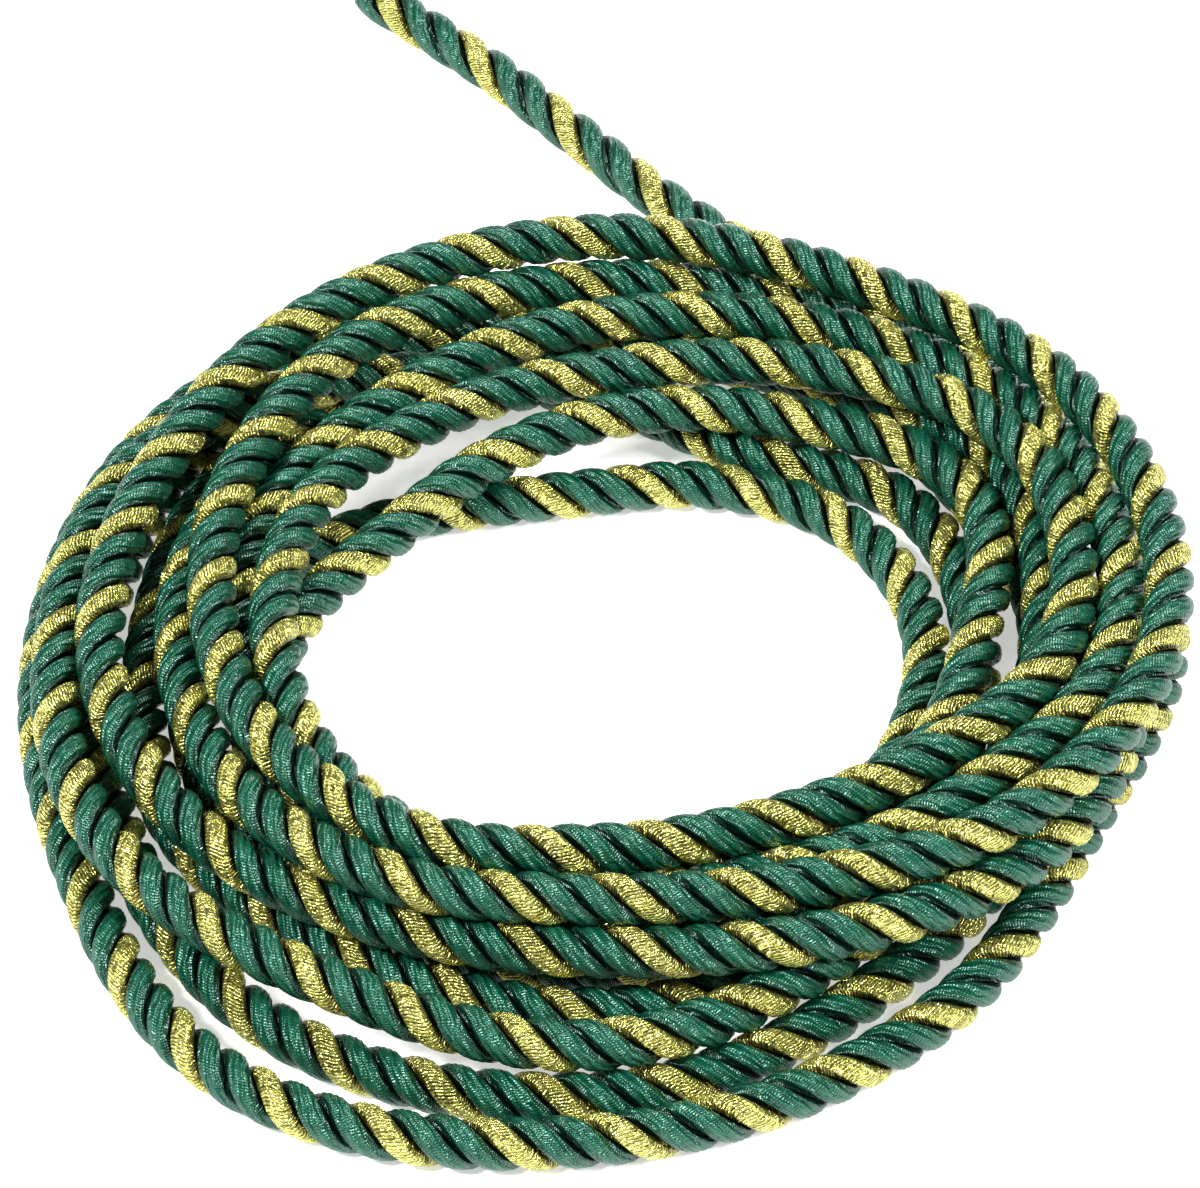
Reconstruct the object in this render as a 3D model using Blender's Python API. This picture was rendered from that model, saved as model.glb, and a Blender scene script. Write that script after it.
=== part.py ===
import bpy
import math
import numpy as np

# A hank of twisted cord: one length laid in an oval coil on a table,
# with its starting end left loose behind the coil.
# Lengths are in millimetres until a point is written to a mesh.
MM = 0.001
CORD_WIDTH = 5.0
LAY_PITCH = 10.8
HALF_HEIGHT = CORD_WIDTH / 2
NEIGHBOUR_GAP = 4.9

# The coil is read by the clock, 12 at the back, laid clockwise from above.
# SEEN_RADIUS is where each stretch is seen, as if all lay at SEEN_AT above
# the table; looking down from the front, a stretch SIGHT_LEAN further back
# for each millimetre lower is seen in the same place.
SEEN_AT = 6.5
SIGHT_LEAN = 0.9325
START_HOUR = 1.0
END_HOUR = 130.6
STEPS_PER_HOUR = 6
#     12    1     2     3     4     5     6     7     8     9    10    11
SEEN_RADIUS = [
    (59.0, 55.3, 57.1, 54.0, 49.5, 56.4, 62.7, 66.2, 58.2, 54.0, 52.0, 50.8),
    (48.3, 47.8, 47.1, 49.0, 49.0, 52.2, 58.4, 59.0, 52.9, 49.5, 48.1, 46.3),
    (43.3, 42.8, 42.1, 44.0, 41.0, 46.0, 48.3, 47.4, 48.5, 46.0, 46.5, 41.8),
    (38.3, 39.0, 46.4, 43.5, 44.5, 46.0, 52.6, 52.2, 54.8, 53.8, 53.0, 43.0),
    (33.8, 29.9, 36.0, 37.0, 38.5, 42.5, 43.8, 43.9, 43.5, 38.5, 27.6, 21.0),
    (20.0, 24.0, 29.5, 33.5, 36.0, 38.0, 39.2, 39.4, 39.0, 32.0, 26.8, 25.0),
    (27.4, 36.0, 42.8, 36.8, 35.0, 34.0, 34.5, 34.7, 35.4, 38.0, 38.4, 38.8),
    (44.2, 50.2, 54.0, 51.1, 41.5, 36.5, 35.0, 34.0, 34.8, 34.4, 34.5, 33.0),
    (36.7, 42.8, 50.6, 46.0, 35.2, 31.0, 31.0, 33.9, 35.0, 37.6, 42.8, 48.2),
    (49.4, 52.0, 52.3, 51.0, 50.2, 44.4, 39.9, 42.0, 46.7, 50.0, 51.0, 53.6),
    (55.0, 54.4, 55.9, 54.0, 46.3, 37.2, 34.6, 37.2, 39.8, 42.7, 46.0, 47.5),
]
# Height of the cord's middle above the table at the same hours.
LAID_HEIGHT = [
    (2.5, 2.5, 2.5, 2.5, 2.5, 2.5, 2.5, 2.5, 2.5, 2.5, 2.5, 2.5),
    (2.5, 2.5, 2.5, 2.5, 2.5, 2.5, 2.5, 2.5, 2.5, 2.5, 2.5, 2.5),
    (2.5, 2.5, 2.5, 2.5, 6.5, 2.5, 2.5, 2.5, 2.5, 2.5, 2.5, 2.5),
    (2.5, 2.5, 6.8, 7.0, 6.8, 6.5, 6.5, 6.5, 6.8, 6.8, 6.5, 4.0),
    (2.5, 2.5, 2.5, 2.5, 2.5, 2.5, 2.5, 2.5, 2.5, 2.5, 2.5, 2.5),
    (2.5, 2.5, 2.5, 2.5, 2.5, 2.5, 2.5, 2.5, 3.5, 5.5, 6.8, 3.5),
    (2.5, 6.8, 7.8, 8.5, 6.8, 4.0, 2.5, 2.5, 2.5, 5.5, 7.0, 7.5),
    (8.0, 8.5, 8.2, 11.0, 10.6, 8.0, 6.8, 6.8, 6.8, 8.0, 5.0, 3.5),
    (7.0, 8.5, 10.6, 11.5, 10.8, 9.5, 9.5, 10.5, 11.0, 11.5, 11.0, 9.5),
    (6.5, 6.5, 2.5, 6.5, 6.8, 8.5, 8.5, 7.0, 8.0, 9.5, 9.0, 8.0),
    (7.5, 7.5, 7.4, 9.4, 11.5, 12.5, 12.0, 11.5, 11.5, 9.0, 7.0, 5.0),
]
# The loose end on the table, from its cut end to where the coil starts.
#     x      y
LOOSE_END = [
    (-27.0, 105.0),
    (-13.0, 91.5),
    (-3.0, 80.0),
    (6.0, 69.5),
    (15.5, 60.5),
]
STEP_LENGTH = 4.0

# Solids: a plain eight-sided tube for the coil, the real lay on the loose end.
TUBE_SIDES = 8
TUBE_RADIUS = 2.2
TUBE_STEP = 5.4
SNAP_HEIGHT = 0.75
STRAND_COUNT = 3
STRAND_RADIUS = 1.16
STRAND_OFFSET = 1.32
LOBE_SIDES = 12
LOBE_STEP = 0.9
END_GAP = 0.3

GREEN = (0.018, 0.125, 0.085)
GOLD_GREEN = (0.055, 0.15, 0.07)


def smooth_read(values, places):
    values = np.asarray(values, float)
    last = len(values) - 1
    i = np.clip(np.floor(places).astype(int), 0, last - 1)
    t = places - i
    before = values[np.clip(i - 1, 0, last)]
    here = values[i]
    there = values[i + 1]
    after = values[np.clip(i + 2, 0, last)]
    line = 2 * here + (there - before) * t
    bend = (2 * before - 5 * here + 4 * there - after) * t * t
    twist = (3 * here - before - 3 * there + after) * t * t * t
    return 0.5 * (line + bend + twist)


def run_lengths(points):
    steps = np.sqrt((np.diff(points, axis=0) ** 2).sum(axis=-1))
    return np.concatenate([[0.0], np.cumsum(steps)])


def spaced(points, count):
    fine = np.linspace(0, len(points) - 1, (len(points) - 1) * 8 + 1)
    dense = np.stack([smooth_read(points[:, k], fine) for k in range(3)], axis=-1)
    run = run_lengths(dense)
    wanted = np.linspace(0, run[-1], count)
    return np.stack([np.interp(wanted, run, dense[:, k]) for k in range(3)], axis=-1)


def laid_coil():
    count = int(round((END_HOUR - START_HOUR) * STEPS_PER_HOUR)) + 1
    hours = np.linspace(START_HOUR, END_HOUR, count)
    seen = smooth_read(np.array(SEEN_RADIUS).ravel(), hours)
    z = smooth_read(np.array(LAID_HEIGHT).ravel(), hours)
    angle = np.radians(90.0 - 30.0 * hours)
    x = seen * np.cos(angle)
    y = seen * np.sin(angle) - SIGHT_LEAN * (z - SEEN_AT)
    return np.stack([x, y, z], axis=-1)


def laid_cord():
    coil = laid_coil()
    flat = [(x, y, HALF_HEIGHT) for x, y in LOOSE_END]
    end = np.array(flat + [tuple(coil[0]), tuple(coil[1])])
    count = int(round(run_lengths(end[:-1])[-1] / STEP_LENGTH)) + 1
    lead = np.linspace(0, len(end) - 2, count)
    end = np.stack([smooth_read(end[:, k], lead) for k in range(3)], axis=-1)
    return np.concatenate([end[:-1], coil]), len(end) - 1


def lay_down(laid, rounds=900, lean=0.02, hold=0.03, spread=0.3):
    # Stretches that would pass through each other move apart, sink by their
    # weight and stay on their line of sight, evenly along the cord.
    seen_y = laid[:, 1] + SIGHT_LEAN * (laid[:, 2] - SEEN_AT)
    p = laid.copy()
    n = len(p)
    reach = 3 * STEPS_PER_HOUR
    for turn in range(rounds):
        if turn % 20 == 0:
            middle = 0.5 * (p[:-1] + p[1:])
            apart = ((p[:, None, :] - middle[None, :, :]) ** 2).sum(axis=-1)
            i, j = np.nonzero(apart < (NEIGHBOUR_GAP * 1.9) ** 2)
            other = (np.abs(i - j) > reach) & (np.abs(i - j - 1) > reach)
            i = i[other]
            j = j[other]
        along = p[j + 1] - p[j]
        off = p[i] - p[j]
        t = np.clip((off * along).sum(axis=-1) / (along * along).sum(axis=-1), 0, 1)
        away = off - along * t[:, None]
        dist = np.sqrt((away ** 2).sum(axis=-1)) + 1e-9
        near = dist < NEIGHBOUR_GAP
        a = i[near]
        b = j[near]
        tb = t[near]
        amount = (NEIGHBOUR_GAP - dist[near]) * 0.25 / dist[near]
        push = away[near] * amount[:, None]
        move = np.zeros_like(p)
        for k in range(3):
            move[:, k] += np.bincount(a, push[:, k], n)
            move[:, k] -= np.bincount(b, push[:, k] * (1 - tb), n)
            move[:, k] -= np.bincount(b + 1, push[:, k] * tb, n)
        p += np.clip(move, -0.4, 0.4)
        if turn < rounds * 0.8:
            p[:, 2] -= lean
            p[:, 0] += (laid[:, 0] - p[:, 0]) * hold
            sight = seen_y - SIGHT_LEAN * (p[:, 2] - SEEN_AT)
            p[:, 1] += (sight - p[:, 1]) * hold
        shift = p - laid
        shift[:, 2] = p[:, 2]
        for again in range(2):
            even = 0.5 * (shift[:-2] + shift[2:]) - shift[1:-1]
            shift[1:-1] += spread * even
        p[:, :2] = laid[:, :2] + shift[:, :2]
        p[:, 2] = np.maximum(shift[:, 2], HALF_HEIGHT)
    return p


def cord_route():
    laid, join = laid_cord()
    route = lay_down(laid)
    low = route[:, :2].min(axis=0)
    high = route[:, :2].max(axis=0)
    route[:, :2] -= 0.5 * (low + high)
    return route, join


def frames(points):
    # A level side direction and an upward one across each point's tangent.
    tangent = np.gradient(points, axis=0)
    tangent /= np.sqrt((tangent ** 2).sum(axis=-1))[:, None]
    side = np.stack([-tangent[:, 1], tangent[:, 0], np.zeros(len(points))], axis=-1)
    side /= np.sqrt((side ** 2).sum(axis=-1))[:, None]
    up = np.cross(tangent, side)
    return side, up


def make_material(name, color, roughness):
    material = bpy.data.materials.new(name)
    material.use_nodes = True
    shader = material.node_tree.nodes["Principled BSDF"]
    shader.inputs["Base Color"].default_value = (*color, 1.0)
    shader.inputs["Roughness"].default_value = roughness
    shader.inputs["Metallic"].default_value = 0.0
    return material


def make_solid(name, rings, material):
    # Rings of points joined into a closed skin with flat ends.
    sides = len(rings[0])
    vertices = [tuple(float(c) * MM for c in point) for ring in rings for point in ring]
    faces = []
    for r in range(len(rings) - 1):
        for s in range(sides):
            t = (s + 1) % sides
            faces.append((r * sides + s, r * sides + t, (r + 1) * sides + t, (r + 1) * sides + s))
    last = (len(rings) - 1) * sides
    faces.append(tuple(reversed(range(sides))))
    faces.append(tuple(range(last, last + sides)))
    mesh = bpy.data.meshes.new(name)
    mesh.from_pydata(vertices, [], faces)
    mesh.update()
    mesh.shade_smooth()
    mesh.set_sharp_from_angle(angle=math.radians(60))
    mesh.materials.append(material)
    solid = bpy.data.objects.new(name, mesh)
    bpy.context.scene.collection.objects.link(solid)
    return solid


def tube_rings(points):
    side, up = frames(points)
    rings = []
    for p, s, u in zip(points, side, up):
        ring = []
        for k in range(TUBE_SIDES):
            angle = 2 * math.pi * (k + 0.5) / TUBE_SIDES
            corner = p + TUBE_RADIUS * (math.cos(angle) * s + math.sin(angle) * u)
            if corner[2] < SNAP_HEIGHT:
                corner[2] = 0.0
            ring.append(corner)
        rings.append(ring)
    return rings


def lobe_radius(angle):
    # Outer edge of three round strands laid about the middle.
    turn = 2 * math.pi / STRAND_COUNT
    a = (angle + turn / 2) % turn - turn / 2
    across = STRAND_OFFSET * math.sin(a)
    return STRAND_OFFSET * math.cos(a) + math.sqrt(max(STRAND_RADIUS ** 2 - across ** 2, 0.0))


def lobed_rings(points, start):
    side, up = frames(points)
    run = run_lengths(points) + start
    rings = []
    for p, s, u, length in zip(points, side, up, run):
        turned = 2 * math.pi * length / LAY_PITCH
        ring = []
        for k in range(LOBE_SIDES):
            corner_angle = 2 * math.pi * k / LOBE_SIDES
            radius = lobe_radius(corner_angle)
            angle = corner_angle + turned
            corner = p + radius * (math.cos(angle) * s + math.sin(angle) * u)
            corner[2] = max(corner[2], 0.0)
            ring.append(corner)
        rings.append(ring)
    return rings


def remove_startup_objects():
    for thing in list(bpy.data.objects):
        bpy.data.objects.remove(thing, do_unlink=True)


def main():
    remove_startup_objects()
    route, join = cord_route()
    loose = route[:join + 1]
    coil = route[join:]
    loose_run = run_lengths(loose)[-1]
    coil_run = run_lengths(coil)[-1]
    loose = spaced(loose, int(round(loose_run / LOBE_STEP)) + 1)
    coil = spaced(coil, int(round(coil_run / TUBE_STEP)) + 1)
    back = loose[-2] - loose[-1]
    loose[-1] += back / np.sqrt((back ** 2).sum()) * END_GAP
    make_solid("coil", tube_rings(coil), make_material("satin_green_coil", GREEN, 0.45))
    make_solid("loose_end", lobed_rings(loose, 0.0), make_material("satin_green_end", GOLD_GREEN, 0.45))


main()
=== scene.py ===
import math
import bpy
import numpy as np
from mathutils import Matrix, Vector


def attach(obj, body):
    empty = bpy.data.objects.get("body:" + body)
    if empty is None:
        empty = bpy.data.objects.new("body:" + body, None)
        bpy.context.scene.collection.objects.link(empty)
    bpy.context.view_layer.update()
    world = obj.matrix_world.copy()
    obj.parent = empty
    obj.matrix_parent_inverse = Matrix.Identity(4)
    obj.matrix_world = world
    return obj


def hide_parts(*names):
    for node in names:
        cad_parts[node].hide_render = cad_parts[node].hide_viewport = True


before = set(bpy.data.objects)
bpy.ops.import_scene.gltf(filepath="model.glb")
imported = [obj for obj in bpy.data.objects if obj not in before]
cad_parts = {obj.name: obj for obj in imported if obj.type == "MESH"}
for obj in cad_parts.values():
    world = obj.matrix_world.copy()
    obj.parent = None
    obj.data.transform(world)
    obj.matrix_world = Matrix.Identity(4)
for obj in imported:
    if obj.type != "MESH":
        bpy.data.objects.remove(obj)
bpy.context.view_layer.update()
print("stage: frame loaded")

# Lengths are in millimetres until a point is written to a mesh.
mm = 0.001
cordWidth = 5.0
halfHeight = cordWidth / 2
neighbourGap = 4.9

# The coil by the clock, 12 at the back, laid clockwise from above: where
# each stretch is seen, as if all lay at seenAt above the table.
seenAt = 6.5
sightLean = 0.9325
startHour = 1.0
endHour = 130.6
stepsPerHour = 6
#     12    1     2     3     4     5     6     7     8     9    10    11
seenRadius = [
    (59.0, 55.3, 57.1, 54.0, 49.5, 56.4, 62.7, 66.2, 58.2, 54.0, 52.0, 50.8),
    (48.3, 47.8, 47.1, 49.0, 49.0, 52.2, 58.4, 59.0, 52.9, 49.5, 48.1, 46.3),
    (43.3, 42.8, 42.1, 44.0, 41.0, 46.0, 48.3, 47.4, 48.5, 46.0, 46.5, 41.8),
    (38.3, 39.0, 46.4, 43.5, 44.5, 46.0, 52.6, 52.2, 54.8, 53.8, 53.0, 43.0),
    (33.8, 29.9, 36.0, 37.0, 38.5, 42.5, 43.8, 43.9, 43.5, 38.5, 27.6, 21.0),
    (20.0, 24.0, 29.5, 33.5, 36.0, 38.0, 39.2, 39.4, 39.0, 32.0, 26.8, 25.0),
    (27.4, 36.0, 42.8, 36.8, 35.0, 34.0, 34.5, 34.7, 35.4, 38.0, 38.4, 38.8),
    (44.2, 50.2, 54.0, 51.1, 41.5, 36.5, 35.0, 34.0, 34.8, 34.4, 34.5, 33.0),
    (36.7, 42.8, 50.6, 46.0, 35.2, 31.0, 31.0, 33.9, 35.0, 37.6, 42.8, 48.2),
    (49.4, 52.0, 52.3, 51.0, 50.2, 44.4, 39.9, 42.0, 46.7, 50.0, 51.0, 53.6),
    (55.0, 54.4, 55.9, 54.0, 46.3, 37.2, 34.6, 37.2, 39.8, 42.7, 46.0, 47.5),
]
# Height of the cord's middle above the table at the same hours.
laidHeight = [
    (2.5, 2.5, 2.5, 2.5, 2.5, 2.5, 2.5, 2.5, 2.5, 2.5, 2.5, 2.5),
    (2.5, 2.5, 2.5, 2.5, 2.5, 2.5, 2.5, 2.5, 2.5, 2.5, 2.5, 2.5),
    (2.5, 2.5, 2.5, 2.5, 6.5, 2.5, 2.5, 2.5, 2.5, 2.5, 2.5, 2.5),
    (2.5, 2.5, 6.8, 7.0, 6.8, 6.5, 6.5, 6.5, 6.8, 6.8, 6.5, 4.0),
    (2.5, 2.5, 2.5, 2.5, 2.5, 2.5, 2.5, 2.5, 2.5, 2.5, 2.5, 2.5),
    (2.5, 2.5, 2.5, 2.5, 2.5, 2.5, 2.5, 2.5, 3.5, 5.5, 6.8, 3.5),
    (2.5, 6.8, 7.8, 8.5, 6.8, 4.0, 2.5, 2.5, 2.5, 5.5, 7.0, 7.5),
    (8.0, 8.5, 8.2, 11.0, 10.6, 8.0, 6.8, 6.8, 6.8, 8.0, 5.0, 3.5),
    (7.0, 8.5, 10.6, 11.5, 10.8, 9.5, 9.5, 10.5, 11.0, 11.5, 11.0, 9.5),
    (6.5, 6.5, 2.5, 6.5, 6.8, 8.5, 8.5, 7.0, 8.0, 9.5, 9.0, 8.0),
    (7.5, 7.5, 7.4, 9.4, 11.5, 12.5, 12.0, 11.5, 11.5, 9.0, 7.0, 5.0),
]
# The loose end on the table, from its cut end to where the coil starts.
looseEnd = [
    (-27.0, 105.0),
    (-13.0, 91.5),
    (-3.0, 80.0),
    (6.0, 69.5),
    (15.5, 60.5),
]
stepLength = 4.0
# How the turns settle on the table and on each other, in steps.
settling = {
    "rounds": 900,
    "pulledShare": 0.8,
    "lean": 0.02,
    "hold": 0.03,
    "spread": 0.3,
    "push": 0.25,
    "mostMove": 0.4,
    "listEvery": 20,
    "listReach": 1.9,
    "skipHours": 3,
}


def smoothRead(values, places):
    values = np.asarray(values, float)
    last = len(values) - 1
    i = np.clip(np.floor(places).astype(int), 0, last - 1)
    t = places - i
    before = values[np.clip(i - 1, 0, last)]
    here = values[i]
    there = values[i + 1]
    after = values[np.clip(i + 2, 0, last)]
    line = 2 * here + (there - before) * t
    bend = (2 * before - 5 * here + 4 * there - after) * t * t
    twist = (3 * here - before - 3 * there + after) * t * t * t
    return 0.5 * (line + bend + twist)


def runLengths(points):
    steps = np.sqrt((np.diff(points, axis=0) ** 2).sum(axis=-1))
    return np.concatenate([[0.0], np.cumsum(steps)])


def spaced(points, step):
    fine = np.linspace(0, len(points) - 1, (len(points) - 1) * 8 + 1)
    dense = np.stack([smoothRead(points[:, k], fine) for k in range(3)], axis=-1)
    run = runLengths(dense)
    wanted = np.linspace(0, run[-1], int(round(run[-1] / step)) + 1)
    return np.stack([np.interp(wanted, run, dense[:, k]) for k in range(3)], axis=-1)


def laidCoil():
    count = int(round((endHour - startHour) * stepsPerHour)) + 1
    hours = np.linspace(startHour, endHour, count)
    seen = smoothRead(np.array(seenRadius).ravel(), hours)
    z = smoothRead(np.array(laidHeight).ravel(), hours)
    angle = np.radians(90.0 - 30.0 * hours)
    x = seen * np.cos(angle)
    y = seen * np.sin(angle) - sightLean * (z - seenAt)
    return np.stack([x, y, z], axis=-1)


def laidCord():
    coil = laidCoil()
    flat = [(x, y, halfHeight) for x, y in looseEnd]
    end = np.array(flat + [tuple(coil[0]), tuple(coil[1])])
    count = int(round(runLengths(end[:-1])[-1] / stepLength)) + 1
    lead = np.linspace(0, len(end) - 2, count)
    end = np.stack([smoothRead(end[:, k], lead) for k in range(3)], axis=-1)
    return np.concatenate([end[:-1], coil]), len(end) - 1


def layDown(laid, how):
    # Stretches that would pass through each other move apart, sink by their
    # weight and stay on their line of sight, evenly along the cord.
    seenY = laid[:, 1] + sightLean * (laid[:, 2] - seenAt)
    p = laid.copy()
    n = len(p)
    reach = how["skipHours"] * stepsPerHour
    for turn in range(how["rounds"]):
        if turn % how["listEvery"] == 0:
            middle = 0.5 * (p[:-1] + p[1:])
            apart = ((p[:, None, :] - middle[None, :, :]) ** 2).sum(axis=-1)
            i, j = np.nonzero(apart < (neighbourGap * how["listReach"]) ** 2)
            other = (np.abs(i - j) > reach) & (np.abs(i - j - 1) > reach)
            i = i[other]
            j = j[other]
        along = p[j + 1] - p[j]
        off = p[i] - p[j]
        t = np.clip((off * along).sum(axis=-1) / (along * along).sum(axis=-1), 0, 1)
        away = off - along * t[:, None]
        dist = np.sqrt((away ** 2).sum(axis=-1)) + 1e-9
        near = dist < neighbourGap
        a = i[near]
        b = j[near]
        tb = t[near]
        amount = (neighbourGap - dist[near]) * how["push"] / dist[near]
        push = away[near] * amount[:, None]
        move = np.zeros_like(p)
        for k in range(3):
            move[:, k] += np.bincount(a, push[:, k], n)
            move[:, k] -= np.bincount(b, push[:, k] * (1 - tb), n)
            move[:, k] -= np.bincount(b + 1, push[:, k] * tb, n)
        p += np.clip(move, -how["mostMove"], how["mostMove"])
        if turn < how["rounds"] * how["pulledShare"]:
            p[:, 2] -= how["lean"]
            p[:, 0] += (laid[:, 0] - p[:, 0]) * how["hold"]
            sight = seenY - sightLean * (p[:, 2] - seenAt)
            p[:, 1] += (sight - p[:, 1]) * how["hold"]
        shift = p - laid
        shift[:, 2] = p[:, 2]
        for again in range(2):
            even = 0.5 * (shift[:-2] + shift[2:]) - shift[1:-1]
            shift[1:-1] += how["spread"] * even
        p[:, :2] = laid[:, :2] + shift[:, :2]
        p[:, 2] = np.maximum(shift[:, 2], halfHeight)
    return p


laid, join = laidCord()
route = layDown(laid, settling)
centre = 0.5 * (route[:, :2].min(axis=0) + route[:, :2].max(axis=0))
route[:, :2] -= centre
print("stage: route laid,", round(float(runLengths(route)[-1])), "mm")

scene = bpy.context.scene

# The camera looks down on the coil from the front.
cameraView = {
    "aim": (-0.5 - centre[0], 11.5 - centre[1], 0.0),
    "distance": 489.0,
    "elevation": 46.0,
    "lens": 144.0,
    "sensor": 36.0,
    "near": 0.01,
    "far": 20.0,
    "picture": (1200, 1188),
}


def addCamera(look):
    data = bpy.data.cameras.new("camera")
    data.lens = look["lens"]
    data.sensor_width = look["sensor"]
    data.clip_start = look["near"]
    data.clip_end = look["far"]
    camera = bpy.data.objects.new("camera", data)
    scene.collection.objects.link(camera)
    rise = math.radians(look["elevation"])
    back = Vector((0.0, -math.cos(rise), math.sin(rise)))
    camera.location = (Vector(look["aim"]) + back * look["distance"]) * mm
    camera.rotation_mode = "QUATERNION"
    camera.rotation_quaternion = (-back).to_track_quat("-Z", "Y")
    scene.camera = camera
    scene.render.resolution_x, scene.render.resolution_y = look["picture"]


addCamera(cameraView)

# One strand's outline is "radial" and "across" large, "offset" from the middle.
cordLook = {
    "pitch": 10.8,
    "loosePitch": 14.8,
    "tightFrom": 55.0,
    "tightTo": 85.0,
    "offset": 1.40,
    "radial": 1.10,
    "across": 1.50,
    "perStrand": 11,
    "ringStep": 0.36,
    "startTurn": 2.58,
    "strands": 3,
    "goldStrand": 2,
    "mapGap": 10.0,
}
bakeLook = {
    "rows": 4,
    "used": 0.97,
    "edge": 0.004,
    "rowEdge": 0.02,
    "capPlaces": (0.02, 0.06),
    "capHeight": 0.985,
    "capRadius": 0.01,
}
strandSlope = math.atan(2 * math.pi * cordLook["offset"] / cordLook["pitch"])


def linkNode(tree, a, b):
    tree.links.new(a, b)


def valleyAngle(look, tries=900):
    # How far round a strand its outline runs: to where it meets its neighbour's,
    # or nearly to the strand's inner side where the outlines only come close.
    half = math.pi / look["strands"]
    for step in range(1, tries):
        psi = math.pi * step / tries
        x = look["offset"] + look["radial"] * math.cos(psi)
        y = look["across"] * math.sin(psi)
        if math.atan2(y, x) >= half:
            break
    return psi


def layTurns(run, look):
    # The lay is loose along the free end and tightens where the coil starts.
    tight = (run - look["tightFrom"]) / (look["tightTo"] - look["tightFrom"])
    pitch = look["loosePitch"] + (look["pitch"] - look["loosePitch"]) * np.clip(tight, 0, 1)
    turns = np.diff(run) * 2 / (pitch[:-1] + pitch[1:])
    return 2 * math.pi * np.concatenate([[0.0], np.cumsum(turns)]) + look["startTurn"]


def ringFrames(points):
    tangent = np.gradient(points, axis=0)
    tangent /= np.sqrt((tangent ** 2).sum(axis=-1))[:, None]
    side = np.stack([-tangent[:, 1], tangent[:, 0], np.zeros(len(points))], axis=-1)
    side /= np.sqrt((side ** 2).sum(axis=-1))[:, None]
    return side, np.cross(tangent, side)


def strandSkin(points, turned, psi, look):
    # The corners of each ring, strand by strand, each from valley to valley.
    per = look["perStrand"]
    side, up = ringFrames(points)
    outward = look["offset"] + look["radial"] * np.cos(psi[:per])
    sideways = look["across"] * np.sin(psi[:per])
    skin = np.zeros((len(points), look["strands"], per, 3))
    for strand in range(look["strands"]):
        angle = (turned + 2 * math.pi * strand / look["strands"])[:, None]
        a = outward * np.cos(angle) - sideways * np.sin(angle)
        b = outward * np.sin(angle) + sideways * np.cos(angle)
        skin[:, strand] = points[:, None] + a[..., None] * side[:, None] + b[..., None] * up[:, None]
    skin = skin.reshape(-1, 3)
    skin[:, 2] = np.maximum(skin[:, 2], 0.0)
    return skin


def skinFaces(rings, count):
    # Each quad's ring and place in it, and the faces with both cut ends.
    ring = np.repeat(np.arange(rings - 1), count)
    place = np.tile(np.arange(count), rings - 1)
    here = ring * count
    there = here + count
    after = (place + 1) % count
    quads = [here + place, here + after, there + after, there + place]
    faces = np.stack(quads, axis=-1).tolist()
    faces.append(list(reversed(range(count))))
    faces.append(list(range((rings - 1) * count, rings * count)))
    return ring, place, faces


def markCreases(mesh, rings, count, per):
    # The crevice between two strands, and the cut ends, are creases.
    ends = np.zeros(len(mesh.edges) * 2, np.int32)
    mesh.edges.foreach_get("vertices", ends)
    ends = ends.reshape(-1, 2)
    ringOf = ends // count
    placeOf = ends % count
    crease = (placeOf[:, 0] == placeOf[:, 1]) & (placeOf[:, 0] % per == 0)
    rim = (ringOf[:, 0] == ringOf[:, 1]) & ((ringOf[:, 0] == 0) | (ringOf[:, 0] == rings - 1))
    sharp = mesh.attributes.new("sharp_edge", "BOOLEAN", "EDGE")
    sharp.data.foreach_set("value", (crease | rim).astype(bool))


def addMap(mesh, name, corners):
    layer = mesh.uv_layers.new(name=name)
    layer.uv.foreach_set("vector", corners.astype(np.float32).ravel())


def layMap(run, psi, across, along, strand, count, look):
    # Millimetres round and along each strand, for the threads.
    sideways = look["across"] * np.sin(psi)[across]
    roundStrand = psi[across] * look["radial"] + look["mapGap"] * strand[:, None]
    alongStrand = run[along] / math.cos(strandSlope) + sideways * math.sin(strandSlope)
    quads = np.stack([roundStrand, alongStrand], axis=-1).reshape(-1, 2)
    return np.concatenate([quads, np.zeros((2 * count, 2))])


def bakeMap(ring, around, along, rings, count, look):
    # The skin in rows of equal length, and the two cut ends above them.
    perRow = math.ceil((rings - 1) / look["rows"])
    row = (ring // perRow)[:, None]
    u = look["edge"] + (1 - 2 * look["edge"]) * (along - row * perRow) / perRow
    v = look["used"] * (row + look["rowEdge"] + (1 - 2 * look["rowEdge"]) * around) / look["rows"]
    parts = [np.stack([u, v], axis=-1).reshape(-1, 2)]
    circle = 2 * math.pi * np.arange(count) / count
    for middle in look["capPlaces"]:
        x = middle + look["capRadius"] * np.cos(circle)
        y = look["capHeight"] + look["capRadius"] * np.sin(circle)
        parts.append(np.stack([x, y], axis=-1))
    parts[1] = parts[1][::-1]
    return np.concatenate(parts)


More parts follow.
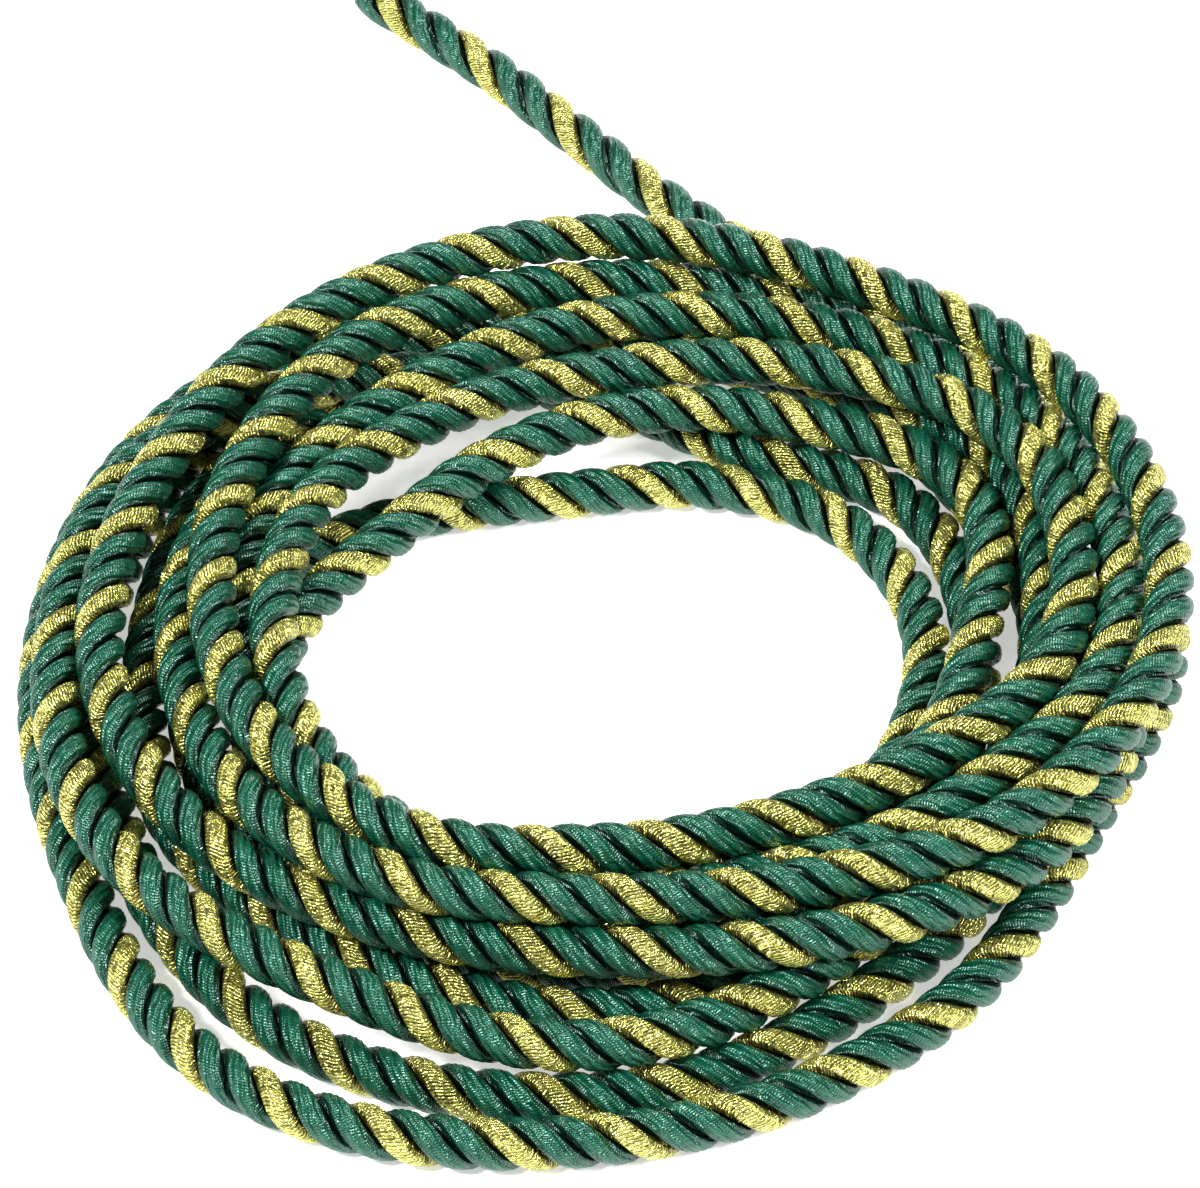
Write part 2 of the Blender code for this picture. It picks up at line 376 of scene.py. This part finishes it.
def cordPiece(name, points, run, turned, look, materials):
    per = look["perStrand"]
    count = look["strands"] * per
    rings = len(points)
    valley = valleyAngle(look)
    psi = np.linspace(-valley, valley, per + 1)
    vertices = strandSkin(points, turned, psi, look)
    ring, place, faces = skinFaces(rings, count)
    mesh = bpy.data.meshes.new(name)
    mesh.from_pydata((vertices * mm).tolist(), [], faces)
    mesh.update()
    for material in materials:
        mesh.materials.append(material)
    strand = place // per
    gold = (strand == look["goldStrand"]).astype(np.int32)
    mesh.polygons.foreach_set("material_index", np.concatenate([gold, [0, 0]]).astype(np.int32))
    mesh.shade_smooth()
    markCreases(mesh, rings, count, per)
    first = place % per
    across = np.stack([first, first + 1, first + 1, first], axis=-1)
    along = np.stack([ring, ring, ring + 1, ring + 1], axis=-1)
    around = (strand[:, None] * per + across) / count
    addMap(mesh, "Lay", layMap(run, psi, across, along, strand, count, look))
    addMap(mesh, "OFBake", bakeMap(ring, around, along, rings, count, bakeLook))
    piece = bpy.data.objects.new(name, mesh)
    scene.collection.objects.link(piece)
    return piece


def mathNode(tree, operation, *values):
    node = tree.nodes.new("ShaderNodeMath")
    node.operation = operation
    for place, value in enumerate(values):
        if isinstance(value, (int, float)):
            node.inputs[place].default_value = value
        else:
            linkNode(tree, value, node.inputs[place])
    return node.outputs[0]


wobbleLook = {"scale": 0.9, "detail": 2.0}


def threadField(tree, look):
    # Rounded threads wound across a strand, and painted shade down the strand's flanks.
    nodes = tree.nodes
    lay = nodes.new("ShaderNodeUVMap")
    lay.uv_map = "Lay"
    split = nodes.new("ShaderNodeSeparateXYZ")
    linkNode(tree, lay.outputs["UV"], split.inputs[0])
    wobble = nodes.new("ShaderNodeTexNoise")
    wobble.inputs["Scale"].default_value = wobbleLook["scale"]
    wobble.inputs["Detail"].default_value = wobbleLook["detail"]
    linkNode(tree, lay.outputs["UV"], wobble.inputs["Vector"])
    lean = mathNode(tree, "MULTIPLY_ADD", split.outputs["X"], look["slant"], split.outputs["Y"])
    bent = mathNode(tree, "MULTIPLY_ADD", wobble.outputs["Fac"], look["wobble"], lean)
    threads = mathNode(tree, "DIVIDE", bent, look["threadGap"])
    rise = mathNode(tree, "PINGPONG", threads, 0.5)
    flank = mathNode(tree, "MULTIPLY_ADD", rise, -2.0, 1.0)
    ridge = mathNode(tree, "MULTIPLY_ADD", mathNode(tree, "MULTIPLY", flank, flank), -1.0, 1.0)
    chance = nodes.new("ShaderNodeTexWhiteNoise")
    chance.noise_dimensions = "1D"
    linkNode(tree, mathNode(tree, "FLOOR", threads), chance.inputs["W"])
    half = cordLook["mapGap"] / 2
    across = mathNode(tree, "ABSOLUTE", mathNode(tree, "WRAP", split.outputs["X"], half, -half))
    # The plies that a strand is made of run along it, a little unevenly.
    drift = mathNode(tree, "MULTIPLY_ADD", wobble.outputs["Fac"], look["plyDrift"], split.outputs["X"])
    ply = mathNode(tree, "COSINE", mathNode(tree, "MULTIPLY", drift, 2 * math.pi / look["plyGap"]))
    height = mathNode(tree, "MULTIPLY_ADD", ply, look["plyRise"], ridge)
    # Painted shade in the grooves between plies, as deep as plyShade sets it.
    plyGrooveShade = mathNode(tree, "MULTIPLY_ADD", ply, look["plyShade"], 1.0 - look["plyShade"])
    # Painted shade: the colour darkens from the strand's middle out to its flanks.
    shade = nodes.new("ShaderNodeMapRange")
    shade.interpolation_type = "SMOOTHSTEP"
    shade.inputs["From Min"].default_value = look["shadeFrom"]
    shade.inputs["From Max"].default_value = look["shadeTo"]
    shade.inputs["To Min"].default_value = 1.0
    shade.inputs["To Max"].default_value = 0.0
    linkNode(tree, across, shade.inputs["Value"])
    return {
        "lay": lay.outputs["UV"],
        "ridge": ridge,
        "height": height,
        "chance": chance.outputs["Value"],
        "shade": mathNode(tree, "MULTIPLY", shade.outputs["Result"], plyGrooveShade),
    }


# The dark colour of each look is both its darker threads' own colour and the colour of painted shade.
greenLook = {
    "darkAndShaded": (0.0005, 0.0050, 0.0034, 1.0),
    "bright": (0.0036, 0.118, 0.064, 1.0),
    "glint": (0.55, 1.0, 0.82, 1.0),
    "specular": 0.95,
    "threadGapShade": 0.65,
    "ownTone": 0.30,
    "leastTone": 0.05,
    "roughness": 0.27,
    "threadGap": 0.23,
    "slant": 0.18,
    "wobble": 0.12,
    "depth": 0.00003,
    "plyGap": 1.15,
    "plyDrift": 1.1,
    "plyRise": 3.0,
    "plyShade": 0.18,
    "shadeFrom": 0.7,
    "shadeTo": 2.2,
}
# The dark colour here is both the darker flakes' own colour and the colour of painted shade.
goldLook = {
    "darkAndShaded": (0.060, 0.050, 0.004, 1.0),
    "bright": (0.98, 0.95, 0.27, 1.0),
    "metallic": 0.85,
    "threadGapShade": 0.55,
    "ownTone": 0.50,
    "leastTone": -0.05,
    "roughness": 0.27,
    "threadGap": 0.27,
    "slant": 0.25,
    "wobble": 0.20,
    "depth": 0.00010,
    "plyGap": 0.9,
    "plyDrift": 0.9,
    "plyRise": 0.3,
    "plyShade": 0.0,
    "shadeFrom": 1.0,
    "shadeTo": 2.5,
    "flakes": (0.9, 4.4, 1.0),
    "tilt": 0.95,
}


def baseMaterial(name):
    material = bpy.data.materials.new(name)
    material.use_nodes = True
    shader = material.node_tree.nodes["Principled BSDF"]
    return material, material.node_tree, shader


def addTone(tree, look, field, own, shader):
    # Painted light and shade: bright on a thread's top, deep beside it, down the strand's flanks and
    # in the grooves between plies, over each thread's own random tone.
    tone = mathNode(tree, "MULTIPLY_ADD", own, look["ownTone"], look["leastTone"])
    tone = mathNode(tree, "MULTIPLY_ADD", field["ridge"], look["threadGapShade"], tone)
    tone = mathNode(tree, "MULTIPLY", tone, field["shade"])
    ramp = tree.nodes.new("ShaderNodeValToRGB")
    ramp.color_ramp.elements[0].color = look["darkAndShaded"]
    ramp.color_ramp.elements[1].color = look["bright"]
    linkNode(tree, tone, ramp.inputs[0])
    linkNode(tree, ramp.outputs[0], shader.inputs["Base Color"])


def addBump(tree, look, height, shader):
    bump = tree.nodes.new("ShaderNodeBump")
    bump.inputs["Strength"].default_value = 1.0
    bump.inputs["Distance"].default_value = look["depth"]
    linkNode(tree, height, bump.inputs["Height"])
    linkNode(tree, bump.outputs[0], shader.inputs["Normal"])
    return bump


def greenMaterial(look):
    material, tree, shader = baseMaterial("satinGreen")
    field = threadField(tree, look)
    addTone(tree, look, field, field["chance"], shader)
    addBump(tree, look, field["height"], shader)
    shader.inputs["Roughness"].default_value = look["roughness"]
    shader.inputs["Specular IOR Level"].default_value = look["specular"]
    shader.inputs["Specular Tint"].default_value = look["glint"]
    return material


def goldMaterial(look):
    # Flat metallic threads: short flakes that lean each their own way.
    material, tree, shader = baseMaterial("metallicGold")
    nodes = tree.nodes
    field = threadField(tree, look)
    cells = nodes.new("ShaderNodeVectorMath")
    cells.operation = "MULTIPLY"
    cells.inputs[1].default_value = look["flakes"]
    linkNode(tree, field["lay"], cells.inputs[0])
    flakes = nodes.new("ShaderNodeTexVoronoi")
    flakes.inputs["Scale"].default_value = 1.0
    linkNode(tree, cells.outputs[0], flakes.inputs["Vector"])
    parts = nodes.new("ShaderNodeSeparateColor")
    linkNode(tree, flakes.outputs["Color"], parts.inputs[0])
    addTone(tree, look, field, parts.outputs[0], shader)
    lean = nodes.new("ShaderNodeVectorMath")
    lean.operation = "SUBTRACT"
    lean.inputs[1].default_value = (0.5, 0.5, 0.5)
    linkNode(tree, flakes.outputs["Color"], lean.inputs[0])
    tilted = nodes.new("ShaderNodeVectorMath")
    tilted.operation = "MULTIPLY_ADD"
    tilted.inputs[1].default_value = (look["tilt"], look["tilt"], look["tilt"])
    surface = nodes.new("ShaderNodeNewGeometry")
    linkNode(tree, lean.outputs[0], tilted.inputs[0])
    linkNode(tree, surface.outputs["Normal"], tilted.inputs[2])
    facing = nodes.new("ShaderNodeVectorMath")
    facing.operation = "NORMALIZE"
    linkNode(tree, tilted.outputs[0], facing.inputs[0])
    bump = addBump(tree, look, field["height"], shader)
    linkNode(tree, facing.outputs[0], bump.inputs["Normal"])
    shader.inputs["Roughness"].default_value = look["roughness"]
    shader.inputs["Metallic"].default_value = look["metallic"]
    return material


materials = [greenMaterial(greenLook), goldMaterial(goldLook)]
print("stage: materials made")

# One piece for the loose end and one for each turn of the coil.
fullRoute = spaced(route, cordLook["ringStep"])
fullRun = runLengths(fullRoute)
fullTurned = layTurns(fullRun, cordLook)
joinRun = float(runLengths(route)[join])
turnCount = 11
pathStep = 3
cuts = [0.0, joinRun]
coilLength = fullRun[-1] - joinRun
for turn in range(1, turnCount + 1):
    cuts.append(joinRun + coilLength * turn / turnCount)
for index in range(len(cuts) - 1):
    first = int(np.searchsorted(fullRun, cuts[index]))
    last = min(int(np.searchsorted(fullRun, cuts[index + 1])), len(fullRun) - 1)
    points = fullRoute[first:last + 1]
    run = fullRun[first:last + 1]
    name = "looseEnd" if index == 0 else f"turn{index:02d}"
    turned = fullTurned[first:last + 1]
    piece = cordPiece(name, points, run, turned, cordLook, materials)
    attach(piece, "root")
    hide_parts("loose_end" if index == 0 else "coil")
    path = (points[::pathStep] * mm).tolist()
    path.append((points[-1] * mm).tolist())

# A plain pale table, lit from the left, the right and behind.
floorLook = {"size": 4.0, "color": (0.90, 0.90, 0.90, 1.0), "roughness": 0.9, "glow": 0.5}
lightLooks = [
    {"name": "keyLight", "place": (-0.55, -0.25, 0.75), "size": 0.24, "power": 12.0},
    {"name": "fillLight", "place": (0.60, -0.30, 0.60), "size": 0.24, "power": 7.0},
    {"name": "backLight", "place": (0.10, 0.75, 0.65), "size": 0.28, "power": 5.5},
]


def addFloor(look):
    half = look["size"] / 2
    mesh = bpy.data.meshes.new("floor")
    corners = [(-half, -half, 0.0), (half, -half, 0.0), (half, half, 0.0), (-half, half, 0.0)]
    mesh.from_pydata(corners, [], [(0, 1, 2, 3)])
    material, _, shader = baseMaterial("paleTable")
    shader.inputs["Base Color"].default_value = look["color"]
    shader.inputs["Roughness"].default_value = look["roughness"]
    shader.inputs["Emission Color"].default_value = (1.0, 1.0, 1.0, 1.0)
    shader.inputs["Emission Strength"].default_value = look["glow"]
    mesh.materials.append(material)
    floor = bpy.data.objects.new("floor", mesh)
    scene.collection.objects.link(floor)


def addLight(look):
    data = bpy.data.lights.new(look["name"], "AREA")
    data.shape = "DISK"
    data.size = look["size"]
    data.energy = look["power"]
    light = bpy.data.objects.new(look["name"], data)
    light.location = look["place"]
    light.rotation_mode = "QUATERNION"
    light.rotation_quaternion = (-Vector(look["place"])).to_track_quat("-Z", "Y")
    scene.collection.objects.link(light)


addFloor(floorLook)
for look in lightLooks:
    addLight(look)
roomLook = {"color": (1.0, 1.0, 1.0, 1.0), "strength": 0.15}
world = bpy.data.worlds.new("softRoom")
scene.world = world
world.use_nodes = True
sky = world.node_tree.nodes["Background"]
sky.inputs["Color"].default_value = roomLook["color"]
sky.inputs["Strength"].default_value = roomLook["strength"]
scene.view_settings.view_transform = "Standard"
print("stage: floor and lights made")
